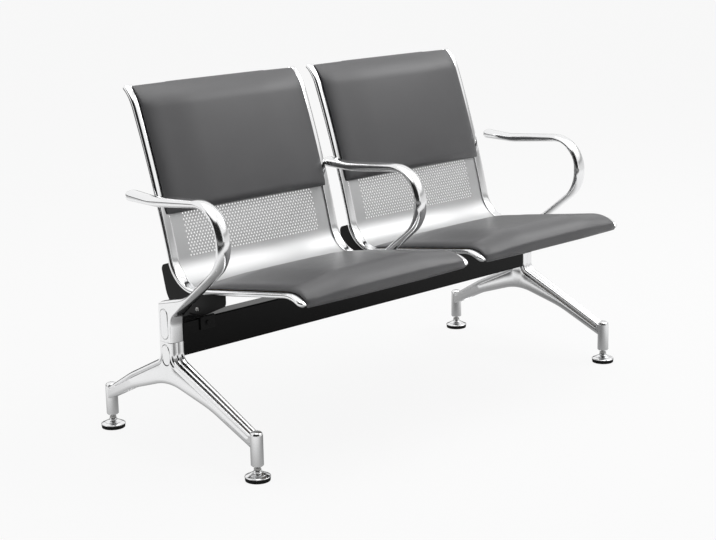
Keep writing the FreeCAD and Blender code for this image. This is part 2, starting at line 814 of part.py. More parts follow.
def make_support(center, side):
    """A black angle under one edge of a shell: flange along the plate, web down to a saddle on the beam."""
    outer = center + side * (shell_width / 2 - support_inset)
    web_x = sorted((outer, outer - side * support_web))
    flange_x = sorted((outer, outer - side * support_flange))
    front_along = begins[2] - (seat_rear_y - support_front_y) / math.cos(math.radians(seat_slope))
    back = -plate_thickness - seam
    flange = bent_strip(front_along, support_top_along, back - support_flange_thickness, back, *flange_x)
    saddle_half = beam_depth / 2 + seam + saddle_wall
    tab_z = beam_top - saddle_tab + support_tab_margin
    start = profile_point(support_top_along, back, web_x[0])
    end = profile_point(front_along, back, web_x[0])
    tip = profile_point(support_top_along, back - support_top_depth, web_x[0])
    corners = [(start, 0),
               (tip, support_round),
               (Vector(web_x[0], support_rear_y, support_rear_z), support_rear_radius),
               (Vector(web_x[0], saddle_half + support_round, tab_z), support_round / 2),
               (Vector(web_x[0], 0, tab_z), 0),
               (Vector(web_x[0], 0, beam_top + support_tab_margin), 0),
               (Vector(web_x[0], -saddle_half, beam_top + support_tab_margin), support_round),
               (Vector(web_x[0], end.y, end.z - support_front_depth), support_round),
               (end, 0)]
    stops = [(start, None, start)]
    for i in range(1, len(corners) - 1):
        stops.append(rounded_corner(corners[i - 1][0], corners[i][0], corners[i + 1][0], corners[i][1]))
    stops.append((end, None, end))
    outline = profile_edges(front_along, support_top_along, back, web_x[0]) + joined_edges(stops)
    web = Part.Face(Part.Wire(Part.__sortEdges__(outline))).extrude(Vector(support_web, 0, 0))
    saddle = saddle_shell(outer - side * support_flange / 2, support_saddle_length)
    support = web.fuse([flange, saddle])
    wide = support_flange + support_saddle_length
    room = box(web_x[0] - wide, web_x[1] + wide, -beam_depth / 2 - seam, beam_depth / 2 + seam,
               beam_bottom, beam_top + seam)
    support = support.cut(room)
    for x in support_flange_lines(center):
        for along in shell_bolt_places:
            support = support.cut(peg(along, back - support_flange, 1, shell_bolt_dia + 2 * running, x))
    return solid(support)


def make_shell_bolts(center):
    """Button-head bolts through plate and flange with a nut behind each."""
    pieces = []
    back = -plate_thickness - seam - support_flange_thickness
    for x in support_flange_lines(center):
        for along in shell_bolt_places:
            head = peg(along, seam, seam + shell_bolt_head, shell_bolt_head_dia, x)
            shank = peg(along, seam - shell_bolt_grip - seam, seam, shell_bolt_dia, x)
            nut = peg(along, back - seam - shell_nut_height, back - seam, shell_nut_dia, x)
            nut = nut.cut(peg(along, back - 2 * shell_nut_height, back, shell_bolt_dia + 2 * running, x))
            pieces += [solid(head.fuse(shank)), nut]
    return Part.makeCompound(pieces)


def write_all():
    save(make_beam(), "beam")
    arm, leg = post_cuts(make_arm(-leg_x, post_seam_z)), post_cuts(make_leg())
    cap_lower, cap_upper = make_caps()
    pieces = {"plug": make_plug(), "plug_screw": make_plug_screw(), "arm": solid(arm), "leg": solid(leg),
              "cap_lower": cap_lower, "cap_upper": cap_upper, "post_bolts": make_post_bolts()}
    for name, shape in pieces.items():
        save(shape, name + "_left")
        save(mirrored(shape), name + "_right")
    save(make_center_arm(), "arm_center")
    save(Part.makeCompound(saddle_screws(0.0)), "arm_center_screws")
    for seat, center in (("left", -shell_center), ("right", shell_center)):
        save(make_shell(center), "shell_" + seat)
        save(make_pad_screws(center), "pad_screws_" + seat)
        save(make_shell_bolts(center), "shell_bolts_" + seat)
        seat_board, back_board = make_boards(center)
        save(seat_board, "seat_board_" + seat)
        save(back_board, "back_board_" + seat)
        seat_pad, back_pad = make_pads(center)
        save(seat_pad, "seat_pad_" + seat)
        save(back_pad, "back_pad_" + seat)
        screws = []
        for edge, side in (("left", -1), ("right", 1)):
            save(make_rim(center, side), "rim_" + seat + "_" + edge)
            save(make_support(center, side), "support_" + seat + "_" + edge)
            screws += saddle_screws(center + side * (shell_width / 2 - support_inset - support_flange / 2))
        save(Part.makeCompound(screws), "support_screws_" + seat)
    for place, x, y in (("front_left", -leg_x, foot_front_y), ("rear_left", -leg_x, foot_rear_y),
                        ("front_right", leg_x, foot_front_y), ("rear_right", leg_x, foot_rear_y)):
        base, cup, stem, insert = make_foot(x, y)
        save(base, "foot_base_" + place)
        save(cup, "foot_cup_" + place)
        save(stem, "foot_stem_" + place)
        save(insert, "foot_insert_" + place)


write_all()
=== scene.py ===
"""Two-seat bench on a beam: bent perforated shells, leather pads, bright armrests and legs."""

import json
import math

import bmesh
import bpy
from mathutils import Matrix, Vector


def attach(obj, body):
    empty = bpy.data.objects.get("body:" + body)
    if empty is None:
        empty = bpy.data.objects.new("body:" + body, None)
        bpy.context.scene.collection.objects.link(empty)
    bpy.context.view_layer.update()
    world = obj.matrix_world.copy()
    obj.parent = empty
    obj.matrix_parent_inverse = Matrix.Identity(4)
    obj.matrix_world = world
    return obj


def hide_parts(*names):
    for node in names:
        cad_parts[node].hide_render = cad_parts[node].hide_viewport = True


MM = 0.001
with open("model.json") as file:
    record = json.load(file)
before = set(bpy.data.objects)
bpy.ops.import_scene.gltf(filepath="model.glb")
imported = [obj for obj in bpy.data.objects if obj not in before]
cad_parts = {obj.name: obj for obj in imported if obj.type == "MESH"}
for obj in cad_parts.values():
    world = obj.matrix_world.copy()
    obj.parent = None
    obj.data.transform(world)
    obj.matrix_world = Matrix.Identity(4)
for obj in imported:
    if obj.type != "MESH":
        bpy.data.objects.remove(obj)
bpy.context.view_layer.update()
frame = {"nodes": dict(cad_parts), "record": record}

# Sizes of the seat shells, the same as in the solids (millimetres and degrees)
beam_line_y = 47.634
shell_width = 497.0
shell_gap = 36.0
shell_center = (shell_width + shell_gap) / 2
seat_slope = 8.0
seat_length = 285.0
seat_rear_y, seat_rear_z = -15.0, 341.5
front_radius, front_dip = 66.0, 35.0
bend_radius = 75.0
back_length = 332.0
back_low_recline, back_top_recline = 14.0, 21.0
top_radius, top_recline = 112.0, 52.0
plate_thickness = 1.5
plate_end_inset = 6.0
plate_hem = 9.0
rim_wall = 2.0


# The line that the shells follow

class Run:
    """A line or an arc of the shell's side view, from heading a to heading b."""

    def __init__(self, start, length, a, b):
        self.start, self.length, self.a, self.b = start, length, a, b

    def heading(self, along):
        return self.a + (self.b - self.a) * along / self.length

    def point(self, along):
        if abs(self.a - self.b) < 1e-9:
            return self.start[0] + along * math.cos(self.a), self.start[1] + along * math.sin(self.a)
        radius = self.length / (self.b - self.a)
        turn = self.heading(along)
        return (self.start[0] + radius * (math.sin(turn) - math.sin(self.a)),
                self.start[1] - radius * (math.cos(turn) - math.cos(self.a)))


def shell_line():
    slope, dip = math.radians(-seat_slope), math.radians(front_dip)
    low, high = math.radians(90 - back_low_recline), math.radians(90 - back_top_recline)
    end = math.radians(90 - top_recline)
    plan = [(front_radius * (dip - slope), dip, slope), (seat_length, slope, slope),
            (bend_radius * (low - slope), slope, low), (back_length, low, high),
            (top_radius * (high - end), high, end)]
    runs, begins, start, total = [], [], (0.0, 0.0), 0.0
    for length, a, b in plan:
        runs.append(Run(start, length, a, b))
        begins.append(total)
        start = runs[-1].point(length)
        total += length
    shift = (seat_rear_y - runs[2].start[0] + beam_line_y, seat_rear_z - runs[2].start[1])
    for run in runs:
        run.start = (run.start[0] + shift[0], run.start[1] + shift[1])
    return runs, begins, total


runs, begins, shell_length = shell_line()


def on_shell(x, along, rise, nose=1.5):
    """A point in metres from its place across, along and above the shell, rolled down past the front edge."""
    if along < 0:
        turn = runs[0].a
        length = nose * math.radians(62)
        steep = turn + math.radians(62) * min(1.0, -along / length)
        front = runs[0].start
        center = (front[0] + nose * math.sin(turn), front[1] - nose * math.cos(turn))
        y = center[0] - (nose + rise) * math.sin(steep)
        z = center[1] + (nose + rise) * math.cos(steep)
        past = max(0.0, -along - length)
        return Vector((x, y - past * math.cos(steep), z - past * math.sin(steep))) * MM
    index = max(i for i in range(len(begins)) if along >= begins[i] - 1e-9)
    y, z = runs[index].point(along - begins[index])
    turn = runs[index].heading(along - begins[index])
    return Vector((x, y - rise * math.sin(turn), z + rise * math.cos(turn))) * MM


def lay_on_shell(piece, x_shift=0.0):
    """Bends a piece that was modelled flat, X across, Y along the shell and Z towards the sitter."""
    for vertex in piece.data.vertices:
        x, along, rise = (c / MM for c in vertex.co)
        vertex.co = on_shell(x + x_shift, along, rise)
    piece.data.update()


# Handling pieces

def only(piece):
    bpy.ops.object.select_all(action="DESELECT")
    piece.select_set(True)
    bpy.context.view_layer.objects.active = piece


def name_piece(name):
    piece = bpy.context.object
    piece.name = piece.data.name = name
    return piece


def settle(piece):
    """Puts a piece's place into its mesh."""
    only(piece)
    bpy.ops.object.transform_apply(location=True, rotation=True, scale=True)


def select_parts(piece, keep, kind="verts"):
    """Leaves edit mode with just the vertices, edges or faces that pass the test selected."""
    bpy.ops.object.mode_set(mode="OBJECT")
    mesh = bmesh.new()
    mesh.from_mesh(piece.data)
    for group in (mesh.faces, mesh.edges, mesh.verts):
        for part in group:
            part.select = False
    for part in getattr(mesh, kind):
        middle = part.co if kind == "verts" else sum((v.co for v in part.verts), Vector()) / len(part.verts)
        if keep(part, middle):
            part.select_set(True)
    mesh.to_mesh(piece.data)
    mesh.free()
    bpy.ops.object.mode_set(mode="EDIT")
    bpy.ops.mesh.select_mode(type={"verts": "VERT", "edges": "EDGE", "faces": "FACE"}[kind])


def apply_modifier(piece, kind, **settings):
    only(piece)
    made = piece.modifiers.new(kind.lower(), kind)
    for key, value in settings.items():
        setattr(made, key, value)
    bpy.ops.object.modifier_apply(modifier=made.name)


def twin(piece, name):
    """A copy with its own mesh."""
    copy = piece.copy()
    copy.data = piece.data.copy()
    copy.name = copy.data.name = name
    bpy.context.scene.collection.objects.link(copy)
    return copy


def smooth(piece, angle=35):
    only(piece)
    bpy.ops.object.shade_smooth_by_angle(angle=math.radians(angle))


def welded_copy(node, name):
    """A new piece from a solid's own surface, its loose triangles joined."""
    piece = twin(frame["nodes"][node], name)
    piece.parent = None
    for key in list(piece.keys()):
        del piece[key]
    piece.data.materials.clear()
    only(piece)
    bpy.ops.object.mode_set(mode="EDIT")
    bpy.ops.mesh.select_all(action="SELECT")
    bpy.ops.mesh.remove_doubles(threshold=0.01 * MM)
    bpy.ops.mesh.normals_make_consistent(inside=False)
    bpy.ops.object.mode_set(mode="OBJECT")
    return piece


def fit(piece, body, finish, slot, *nodes):
    piece.data.materials.clear()
    piece.data.materials.append(finish)
    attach(piece, body)
    if nodes:
        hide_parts(*nodes)


# Drawing outlines and rings

smallest_even_radius = 20.0
sharpest_corner = 0.6    # the least cosine that an inset is divided by, so that it doesn't run away in a corner


def outline(corners, spacing=5.0):
    """A closed side view, each corner given as y, z and radius, as evenly spaced points."""
    count, points = len(corners), []
    for i, (y, z, radius) in enumerate(corners):
        here = Vector((y, z))
        before = (Vector(corners[i - 1][:2]) - here).normalized()
        after = (Vector(corners[(i + 1) % count][:2]) - here).normalized()
        if radius == 0:
            points.append(here)
            continue
        half = before.angle(after) / 2
        center = here + (before + after).normalized() * radius / math.sin(half)
        start, end = (here + way * radius / math.tan(half) - center for way in (before, after))
        turn = start.angle_signed(end)
        steps = max(4, round(abs(turn) * max(radius, smallest_even_radius) / spacing))
        for k in range(steps + 1):
            spin = Matrix.Rotation(-turn * k / steps, 2)
            points.append(center + spin @ start)
    spread = []
    for i, point in enumerate(points):
        gap = points[(i + 1) % len(points)] - point
        steps = max(1, round(gap.length / spacing))
        spread += [point + gap * k / steps for k in range(steps) if gap.length > 1e-6]
    area = sum(a.x * b.y - b.x * a.y for a, b in zip(spread, spread[1:] + spread[:1]))
    return spread if area > 0 else spread[::-1]


def inset_outline(points, amount):
    """The same outline, drawn in by an amount that may differ from point to point."""
    moved = []
    for i, point in enumerate(points):
        arriving = (point - points[i - 1]).normalized()
        leaving = (points[(i + 1) % len(points)] - point).normalized()
        inward = Vector((-arriving.y, arriving.x)) + Vector((-leaving.y, leaving.x))
        inward.normalize()
        reach = amount(point) / max(sharpest_corner, inward.dot(Vector((-arriving.y, arriving.x))))
        moved.append(point + inward * reach)
    return moved


def loft(name, rings, closed=(True, True)):
    """A skin over rings with the same number of points, extruded ring by ring; closed says which ends get a cap."""
    bpy.ops.object.select_all(action="DESELECT")
    bpy.ops.mesh.primitive_circle_add(vertices=len(rings[0]), radius=1.0)
    piece = name_piece(name)
    for vertex, place in zip(piece.data.vertices, rings[0]):
        vertex.co = Vector(place) * MM
    bpy.ops.object.mode_set(mode="EDIT")
    bpy.ops.mesh.select_all(action="SELECT")
    for ring in rings[1:]:
        bpy.ops.mesh.extrude_region_move()
        skin = bmesh.from_edit_mesh(piece.data)
        skin.verts.ensure_lookup_table()
        for vertex, place in zip([v for v in skin.verts if v.select], ring):
            vertex.co = Vector(place) * MM
        bmesh.update_edit_mesh(piece.data)
    if closed[1]:
        bpy.ops.mesh.fill(use_beauty=True)
    if closed[0]:
        select_parts(piece, lambda v, m: v.index < len(rings[0]))
        bpy.ops.mesh.select_mode(type="EDGE")
        bpy.ops.mesh.fill(use_beauty=True)
    bpy.ops.mesh.select_all(action="SELECT")
    bpy.ops.mesh.normals_make_consistent(inside=False)
    bpy.ops.object.mode_set(mode="OBJECT")
    return piece


def round_rings(half, radius, steps=5):
    """Rings (distance from the middle, inset) that round an edge off."""
    turns = [math.radians(90 * k / steps) for k in range(steps + 1)]
    return [(half - radius + radius * math.sin(t), radius * (1 - math.cos(t))) for t in turns]


def casting(name, side_view, rings, plan, roundness):
    """A block with the same side view on both faces, stepped outwards from its middle by rings.

    roundness says how much of a ring's inset a place of the side view (y, z) takes, and plan then moves the
    place in plan.
    """
    stack = []
    for reach, inset in rings:
        points = inset_outline(side_view, lambda point: roundness(point, inset))
        stack.append([plan(Vector((reach, p.x, p.y)), inset) for p in points])
    piece = loft(name, stack, (False, True))
    apply_modifier(piece, "MIRROR", use_axis=(True, False, False), use_mirror_merge=True,
                   merge_threshold=0.01 * MM, use_clip=False)
    only(piece)
    bpy.ops.object.mode_set(mode="EDIT")
    bpy.ops.mesh.select_all(action="SELECT")
    bpy.ops.mesh.normals_make_consistent(inside=False)
    bpy.ops.object.mode_set(mode="OBJECT")
    return piece


def cut_level(piece, z, keep_above=True):
    """Saws a closed piece off at a height and closes the cut."""
    only(piece)
    bpy.ops.object.mode_set(mode="EDIT")
    bpy.ops.mesh.select_all(action="SELECT")
    bpy.ops.mesh.bisect(plane_co=(0, 0, z * MM), plane_no=(0, 0, 1), use_fill=True,
                        clear_inner=keep_above, clear_outer=not keep_above)
    bpy.ops.object.mode_set(mode="OBJECT")


def cut_away(piece, cutter):
    apply_modifier(piece, "BOOLEAN", object=cutter, operation="DIFFERENCE", solver="EXACT")
    bpy.data.objects.remove(cutter)


def joined(name, *pieces):
    only(pieces[0])
    for piece in pieces[1:]:
        piece.select_set(True)
    bpy.ops.object.join()
    return name_piece(name)


def shifted(piece, x=0.0, y=0.0, z=0.0):
    piece.data.transform(Matrix.Translation(Vector((x, y, z)) * MM))
    return piece


def turned(name, profile, x, y, sides=40):
    """A turned piece, its profile given as radius and height."""
    spins = [math.radians(360 * k / sides) for k in range(sides)]
    rings = [[(x + r * math.cos(t), y + r * math.sin(t), z) for t in spins] for r, z in profile]
    return loft(name, rings)


# Finishes

class Wire:
    """A socket of a finish, on which sums are written as plain expressions."""

    def __init__(self, finish, socket):
        self.finish, self.socket = finish, socket

    def math(self, operation, a, b=0.0):
        return self.finish.add("ShaderNodeMath", {"operation": operation}, {0: a, 1: b})

    def __add__(self, other):
        return self.math("ADD", self, other)

    def __sub__(self, other):
        return self.math("SUBTRACT", self, other)

    def __rsub__(self, other):
        return self.math("SUBTRACT", other, self)

    def __mul__(self, other):
        return self.math("MULTIPLY", self, other)

    __radd__ = __add__
    __rmul__ = __mul__


class Finish:
    """A material built from nodes."""

    def __init__(self, name, **shader):
        self.material = bpy.data.materials.new(name)
        self.material.use_nodes = True
        self.tree = self.material.node_tree
        self.tree.nodes.clear()
        self.shader = self.tree.nodes.new("ShaderNodeBsdfPrincipled")
        self.output = self.tree.nodes.new("ShaderNodeOutputMaterial")
        self.show(Wire(self, self.shader.outputs[0]))
        self.feed(**shader)

    def show(self, surface):
        self.tree.links.new(surface.socket, self.output.inputs[0])

    def put(self, socket, value):
        if isinstance(value, Wire):
            self.tree.links.new(value.socket, socket)
        else:
            socket.default_value = value

    def feed(self, **values):
        for key, value in values.items():
            self.put(self.shader.inputs[key.replace("_", " ")], value)

    def add(self, kind, settings=None, values=None, out=0):
        node = self.tree.nodes.new(kind)
        for key, value in (settings or {}).items():
            if key == "stops":
                ramp = node.color_ramp.elements
                while len(ramp) < len(value):
                    ramp.new(0.5)
                for stop, (place, color) in zip(ramp, value):
                    stop.position, stop.color = place, color
            else:
                setattr(node, key, value)
        for key, value in (values or {}).items():
            self.put(node.inputs[key], value)
        return Wire(self, node.outputs[out])

    def place(self):
        return self.add("ShaderNodeTexCoord", out=3)

    def noise(self, scale, detail=3.0, roughness=0.5, place=None):
        return self.add("ShaderNodeTexNoise", None, {"Vector": place or self.place(), "Scale": scale,
                                                     "Detail": detail, "Roughness": roughness})

    def stretched(self, x, y, z):
        return self.add("ShaderNodeMapping", None, {"Vector": self.place(), "Scale": (x, y, z)})

    def ramp(self, value, stops):
        return self.add("ShaderNodeValToRGB", {"stops": stops}, {"Fac": value})

    def mixed(self, share, a, b):
        node = self.tree.nodes.new("ShaderNodeMix")
        node.data_type = "RGBA"
        self.put(node.inputs[0], share)
        self.put(node.inputs[6], a)
        self.put(node.inputs[7], b)
        return Wire(self, node.outputs[2])

    def bump(self, height, distance, strength=1.0, normal=None):
        values = {"Height": height, "Distance": distance, "Strength": strength}
        if normal:
            values["Normal"] = normal
        return self.add("ShaderNodeBump", None, values)


def grey(value, alpha=1.0):
    return (value, value, value, alpha)


def make_leather():
    leather = Finish("grey_leather", Specular_IOR_Level=0.6)
    place = leather.place()
    grain = leather.add("ShaderNodeTexVoronoi", {"feature": "DISTANCE_TO_EDGE"}, {"Vector": place, "Scale": 900.0})
    pores = leather.noise(2600.0, 2.0, 0.6, place)
    tone = leather.noise(9.0, 4.0, 0.6, place)
    wear = leather.noise(38.0, 5.0, 0.65, place)
    base = leather.mixed(tone, (0.088, 0.088, 0.091, 1), (0.108, 0.108, 0.112, 1))
    base = leather.mixed(leather.ramp(grain, [(0.0, grey(1)), (0.12, grey(0))]) * 0.35, base, (0.06, 0.06, 0.063, 1))
    creases = leather.bump(grain, 0.00012, 0.55)
    leather.feed(Base_Color=base, Roughness=0.30 + tone * 0.08 + wear * 0.08,
                 Normal=leather.bump(pores, 0.00005, 0.5, creases))
    return leather.material


def make_chrome(name, shade, rough, swell):
    chrome = Finish(name, Metallic=1.0)
    haze = chrome.noise(14.0, 4.0)
    scuffs = chrome.noise(420.0, 3.0, 0.6, chrome.stretched(1.0, 0.12, 0.12))
    dull = (shade * 0.95, shade * 0.955, shade * 0.965, 1)
    chrome.feed(Base_Color=chrome.mixed(haze, grey(shade), dull),
                Roughness=rough + haze * 0.03 + scuffs * 0.025,
                Normal=chrome.bump(chrome.noise(55.0, 2.0), swell, 0.4))
    return chrome.material


def make_plate_paint():
    paint = Finish("silver_powder_coat", Metallic=0.85)
    flake = paint.noise(2400.0, 2.0, 0.7)
    tone = paint.noise(6.0, 3.0)
    base = paint.mixed(tone, (0.54, 0.543, 0.545, 1), (0.61, 0.612, 0.615, 1))
    paint.feed(Base_Color=base, Roughness=0.38 + flake * 0.10,
               Normal=paint.bump(flake, 0.00003, 0.4))
    return paint.material


def make_black_paint(name, shade, rough, grain, height, shine):
    paint = Finish(name, Specular_IOR_Level=shine)
    skin = paint.noise(grain, 3.0, 0.6)
    tone = paint.noise(7.0, 3.0)
    paint.feed(Base_Color=paint.mixed(tone, grey(shade), grey(shade * 1.5)),
               Roughness=rough + tone * 0.08 + skin * 0.06, Normal=paint.bump(skin, height, 0.5))
    return paint.material


def make_rubber():
    rubber = Finish("black_rubber", Specular_IOR_Level=0.2)
    tone = rubber.noise(60.0, 4.0)
    rubber.feed(Base_Color=rubber.mixed(tone, grey(0.006), grey(0.016)), Roughness=0.6 + tone * 0.2,
                Normal=rubber.bump(rubber.noise(1500.0, 2.0), 0.00006, 0.6))
    return rubber.material


def make_zinc():
    zinc = Finish("zinc_plate", Metallic=1.0)
    spangle = zinc.noise(260.0, 3.0)
    zinc.feed(Base_Color=zinc.mixed(spangle, grey(0.52), (0.66, 0.66, 0.64, 1)), Roughness=0.28 + spangle * 0.18,
              Normal=zinc.bump(spangle, 0.00003, 0.4))
    return zinc.material


def make_plywood():
    wood = Finish("plywood")
    grain = wood.noise(30.0, 6.0, 0.65, wood.stretched(1.0, 12.0, 12.0))
    wood.feed(Base_Color=wood.mixed(grain, (0.50, 0.35, 0.20, 1), (0.32, 0.20, 0.10, 1)), Roughness=0.6 + grain * 0.2,
              Normal=wood.bump(grain, 0.0001, 0.5))
    return wood.material


leather = make_leather()
chrome = make_chrome("chrome_strip", 0.90, 0.05, 0.00006)
casting_metal = make_chrome("bright_casting", 0.88, 0.12, 0.00002)
leg_metal = make_chrome("polished_leg", 0.88, 0.13, 0.00002)
plate_paint = make_plate_paint()
beam_black = make_black_paint("beam_black", 0.004, 0.14, 700.0, 0.00002, 0.12)
support_black = make_black_paint("support_black", 0.006, 0.34, 1100.0, 0.00006, 0.15)
rubber = make_rubber()
zinc = make_zinc()
plywood = make_plywood()
finish_of_slot = {"chrome": chrome, "bright_casting": casting_metal, "silver_plate": plate_paint,
                  "beam_black": beam_black, "support_black": support_black, "leather": leather,
                  "board": plywood, "rubber": rubber, "fastener": zinc}


def dress_solids():
    """Every solid that stays gets the finish of its material slot, but the supports' screws get the black support
    paint.
    """
    for entry in frame["record"]["subparts"]:
        node = frame["nodes"][entry["node"]]
        node.data.materials.clear()
        dark = entry["node"].startswith("support_screws")
        node.data.materials.append(support_black if dark else finish_of_slot[entry["material_slot"]])


# Armrests

post_width = 35.0
post_depth = 42.0
arm_gap = 37.5
post_seam_z = 244.0
arm_x = shell_gap / 2 + shell_width + arm_gap + post_width / 2
beam_top = 284.0
arm_front_y, arm_front_inner_y = -194.0, -175.0
arm_tip_y = 124.0
arm_roll = 9.2
foot_start_z, bar_start_z = 305.0, 380.0


def arm_corners(bottom_z):
    """The armrest's side view: post, slanting foot, upright front, top bar and flared rear end."""
    half, low = post_depth / 2, bottom_z - 12
    return [(-half, low, 0), (-half, 296.6, 30), (arm_front_y, 432, 85), (arm_front_y, 567, 85),
            (42, 548, 160), (arm_tip_y, 554, 11.2), (arm_tip_y, 530, 11.2), (22, 528, 200),
            (arm_front_inner_y, 548, 57), (arm_front_inner_y, 433.6, 73), (-68, 350, 110),
            (half, 328, 8), (half, low, 0)]


def arm_plan(point, inset):
    """Rounds the armrest's rear end in plan."""
    past = (point.y - (arm_tip_y - post_width / 2)) / (post_width / 2)
    if past <= 0:
        return point
    return Vector((point.x * max(0.45, (1 - min(1.0, past) ** 2.6) ** 0.5), point.y, point.z))


def arm_roundness(point, inset):
    """The bar is nearly oval, its slanting foot slimmer and the post squarer."""
    share = 0.72 + 0.28 * ease((point.y - bar_start_z) / 60)
    if point.y < foot_start_z + 40:
        share = 0.4 + 0.32 * ease((point.y - foot_start_z) / 40)
    return inset * share


def make_arm(name, bottom_z):
    rings = [(0, 0), (4, 0.1)]
    for degrees in (18, 28, 37, 46, 54, 61, 68, 74, 79, 83, 87, 90):
        turn = math.radians(degrees)
        rings.append((post_width / 2 * math.sin(turn) ** 0.9, arm_roll * (1 - math.cos(turn) ** 0.92)))
    arm = casting(name, outline(arm_corners(bottom_z), 4.0), rings, arm_plan, arm_roundness)
    cut_level(arm, bottom_z)
    return shifted(arm, y=beam_line_y)


def make_arms():
    side = make_arm("arm_cast", post_seam_z + 0.5)
    cut_away(side, cover_block("pocket", "cap_upper", pocket=True))
    for place, sign in (("left", -1), ("right", 1)):
        piece = shifted(turned_out(side, "arm_" + place + "_casting", sign), sign * arm_x)
        smooth(piece, 40)
        fit(piece, "frame", casting_metal, "bright_casting", "arm_" + place)
    bpy.data.objects.remove(side)
    upper = make_arm("arm_middle", beam_top + 3.5)
    saddle = welded_copy("arm_center", "arm_saddle")
    cut_level(saddle, beam_top + 4.5, keep_above=False)
    piece = joined("arm_center_casting", upper, saddle)
    smooth(piece, 40)
    fit(piece, "frame", casting_metal, "bright_casting", "arm_center")


# Covers on the posts

cover_spans = {"cap_upper": (250.0, 316.0, 0.0), "cap_lower": (192.0, 238.0, 1.9)}
cover_half = 12.0
cover_play = 0.8
pocket_floor, pocket_mouth = 15.4, 24.0


def cover_block(name, span, pocket=False):
    """A long rounded cover that fades into the casting at its foot, or the cutter for the pocket that it sits in."""
    low, high, fade = cover_spans[span]
    ring = []
    for center, first in ((high - cover_half, 0), (low + cover_half, 180)):
        ring += [(math.cos(math.radians(first + a)), center, math.sin(math.radians(first + a)))
                 for a in range(0, 181, 15)]
    rings = [(13.6, 0.0), (17.2, 0.0), (18.2, 0.5), (18.6, 1.4), (18.4, 3.2), (18.2, 6.0)]
    if pocket:
        rings = [(pocket_floor, -cover_play), (pocket_mouth, -cover_play)]
    stack = []
    for reach, inset in rings:
        half = cover_half - inset
        drop = 0.0 if reach == pocket_mouth else fade
        stack.append([(reach - drop * ease((high - 16 - z) / 20), y * half, z + up * half) for y, z, up in ring])
    return shifted(loft(name, stack), y=beam_line_y)


def turned_out(piece, name, sign):
    """A copy for the bench's left or right end, its outer face outwards."""
    copy = twin(piece, name)
    if sign < 0:
        copy.data.transform(Matrix.Diagonal((-1, 1, 1, 1)))
        copy.data.flip_normals()
    return copy


def make_covers():
    for span in cover_spans:
        cover = cover_block(span + "_block", span)
        for place, sign in (("left", -1), ("right", 1)):
            piece = shifted(turned_out(cover, span + "_" + place + "_cover", sign), sign * arm_x)
            smooth(piece, 45)
            fit(piece, "frame", casting_metal, "bright_casting", span + "_" + place)
        bpy.data.objects.remove(cover)


# Legs

foot_front_y, foot_rear_y = -266.0, 230.0
leg_end_width = 25.8
knee_y = 135.0
edge_roll = 4.0
groove_inset = 6.0
seam_depth = 4.0


def leg_corners():
    half, top = post_depth / 2, post_seam_z + 14
    return [(-half, top, 0), (-half, 205, 18), (-knee_y, 154, 300), (foot_front_y, 94, 0), (foot_front_y, 67, 0),
            (-knee_y, 123, 300), (0, 157, 150), (knee_y, 113, 300), (foot_rear_y, 67, 0), (foot_rear_y, 94, 0),
            (knee_y, 150, 300), (half, 205, 18), (half, top, 0)]


def is_underside(y, z):
    """Whether a place of the leg's outline lies below the leg's middle line, which bends at the knees."""
    reach = abs(y)
    middle = 181 - reach / 3 if reach < knee_y else 136 - (reach - knee_y) * 0.49
    return z < middle


def leg_roundness(point, inset):
    """The underside is rounded twice as far as the top; inside its sockets the leg keeps its full height."""
    foot = foot_rear_y if point.x > 0 else -foot_front_y
    shown = ease((foot - abs(point.x)) / 12)
    if not is_underside(*point):
        return inset * shown
    return shown * (inset * 2.0 if inset <= edge_roll else 2.0 * edge_roll + (inset - edge_roll) * 0.2)


def leg_plan(point, inset):
    """Narrows the leg towards its sockets; the side grooves run along its upper edge and end below the seam."""
    past = max(0.0, abs(point.y) - post_depth / 2 - 10)
    full = (foot_rear_y if point.y > 0 else -foot_front_y) - post_depth / 2 - 10
    width = 1 + (leg_end_width / post_width - 1) * min(1.0, past / full)
    x = point.x
    if inset > groove_inset and x < post_width / 2:
        fade = 1.0 if is_underside(point.y, point.z) else ease((point.z - 214) / 16)
        x += (post_width / 2 - x) * fade
    return Vector((x * width, point.y, point.z))


